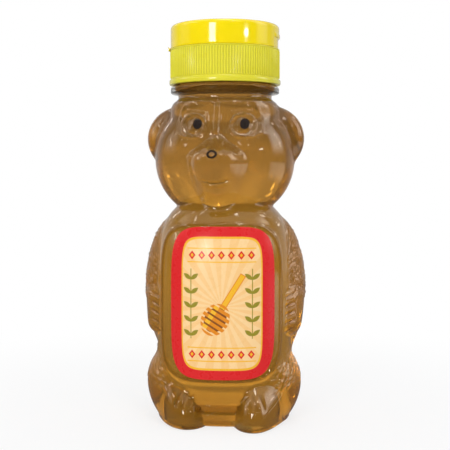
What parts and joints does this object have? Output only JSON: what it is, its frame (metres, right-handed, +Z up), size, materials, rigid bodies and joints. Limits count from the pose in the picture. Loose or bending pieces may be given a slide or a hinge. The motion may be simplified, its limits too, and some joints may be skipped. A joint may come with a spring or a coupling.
{
  "type": "honey squeeze bottle",
  "caption": "Clear bear-shaped plastic squeeze bottle of honey with a ribbed screw cap, a flip-top lid on a film hinge and a belly label.",
  "frame": {"origin": "on the bottle's axis, in the plane that its base stands on", "axes": "+Z up along the neck's axis; -Y is the bear's front; +X is the bear's left hand side, to the right in the picture"},
  "size_m": [0.0598, 0.0563, 0.1461],
  "materials": {
    "clear_pet": "gloss",
    "amber_honey": "gloss",
    "liner_white": "matte",
    "cap_yellow": "satin",
    "lid_yellow": "gloss",
    "label_print": "satin",
    "face_ink": "satin"
  },
  "bodies": {
    "bottle_body": {"bottle": "clear_pet", "honey": "amber_honey", "front_label": "label_print", "left_eye_print": "face_ink", "right_eye_print": "face_ink", "nose_print": "face_ink"},
    "seal_body": {"seal_disc": "liner_white"},
    "cap_body": {"cap_base": "cap_yellow", "living_hinge": "lid_yellow"},
    "lid_body": {"flip_lid": "lid_yellow"}
  },
  "joints": [
    {"name": "cap_lift", "type": "slide", "parent": "bottle_body", "child": "seal_body", "axis": [0, 0, 1], "range_m": [0, 0.0127]},
    {"name": "cap_twist", "type": "hinge", "parent": "seal_body", "child": "cap_body", "pos_m": [0, 0, 0.13], "axis": [0, 0, 1], "range_deg": [0, 1080]},
    {"name": "lid_hinge", "type": "hinge", "parent": "cap_body", "child": "lid_body", "pos_m": [-0.02107, 0.00184, 0.13745], "axis": [-0.0872, -0.9962, 0], "range_deg": [0, 165], "deforming": ["living_hinge"]}
  ],
  "couplings": [
    {"joint": "cap_lift", "follows": "cap_twist", "m_per_rad": 0.0006737}
  ]
}
